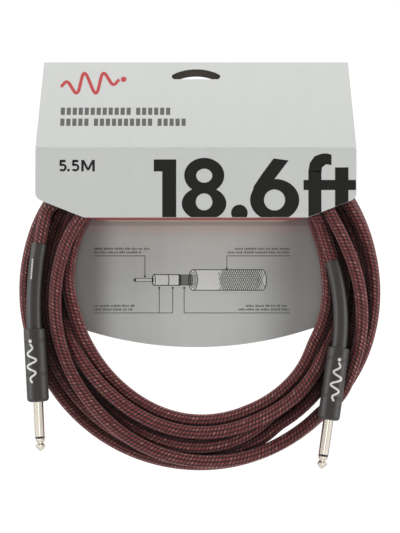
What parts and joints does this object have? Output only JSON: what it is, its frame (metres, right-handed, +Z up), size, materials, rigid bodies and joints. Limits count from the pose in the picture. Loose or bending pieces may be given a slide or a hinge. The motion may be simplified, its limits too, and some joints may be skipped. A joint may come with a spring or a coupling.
{
  "type": "instrument cable",
  "caption": "Coiled braided instrument cable with a straight 6.35 mm two-pole plug on each end, held by a folded hang card.",
  "frame": {"origin": "centre of the hang hole in the front layer, carried straight back to the plane of the card's back face", "axes": "+Z up with the card hanging from its hole, -Y towards the front of the card, +X to the right seen from the front"},
  "size_m": [0.2254, 0.03, 0.2564],
  "materials": {
    "nickel": "polished nickel plate",
    "brass": "bare brass",
    "black_insulator": "moulded",
    "heat_shrink": "satin heat-shrink tube",
    "shell_metal": "turned",
    "clear_liner": "translucent",
    "braid": "woven braid, red and dark olive",
    "dielectric_white": "foamed",
    "copper": "stranded copper",
    "card": "coated board with a silver-grey print"
  },
  "bodies": {
    "root": {"left_tip_contact": "nickel", "left_centre_rod": "brass", "left_tip_insulator": "black_insulator", "left_sleeve_contact": "nickel", "left_rear_insulator": "black_insulator", "left_tip_lug": "brass", "left_ground_clamp": "nickel", "left_inner_liner": "clear_liner", "left_shell": "shell_metal", "left_shield": "copper", "left_dielectric": "dielectric_white", "left_centre_conductor": "copper", "left_handle_sleeve": "heat_shrink", "left_strain_relief": "heat_shrink", "left_cable_end": "braid", "left_lead": "braid", "right_tip_contact": "nickel", "right_centre_rod": "brass", "right_tip_insulator": "black_insulator", "right_sleeve_contact": "nickel", "right_rear_insulator": "black_insulator", "right_tip_lug": "brass", "right_ground_clamp": "nickel", "right_inner_liner": "clear_liner", "right_shell": "shell_metal", "right_shield": "copper", "right_dielectric": "dielectric_white", "right_centre_conductor": "copper", "right_handle_sleeve": "heat_shrink", "right_strain_relief": "heat_shrink", "right_cable_end": "braid", "right_lead": "braid", "cable_coil": "braid", "card_back_panel": "card", "card_header": "card"},
    "front_panel": {"card_front_panel": "card", "card_tuck_flap": "card"}
  },
  "joints": [
    {"name": "front_panel_lift", "type": "hinge", "parent": "root", "child": "front_panel", "pos_m": [0, -0.0256, -0.0482], "axis": [-1, 0, 0], "range_deg": [0, 110]}
  ]
}
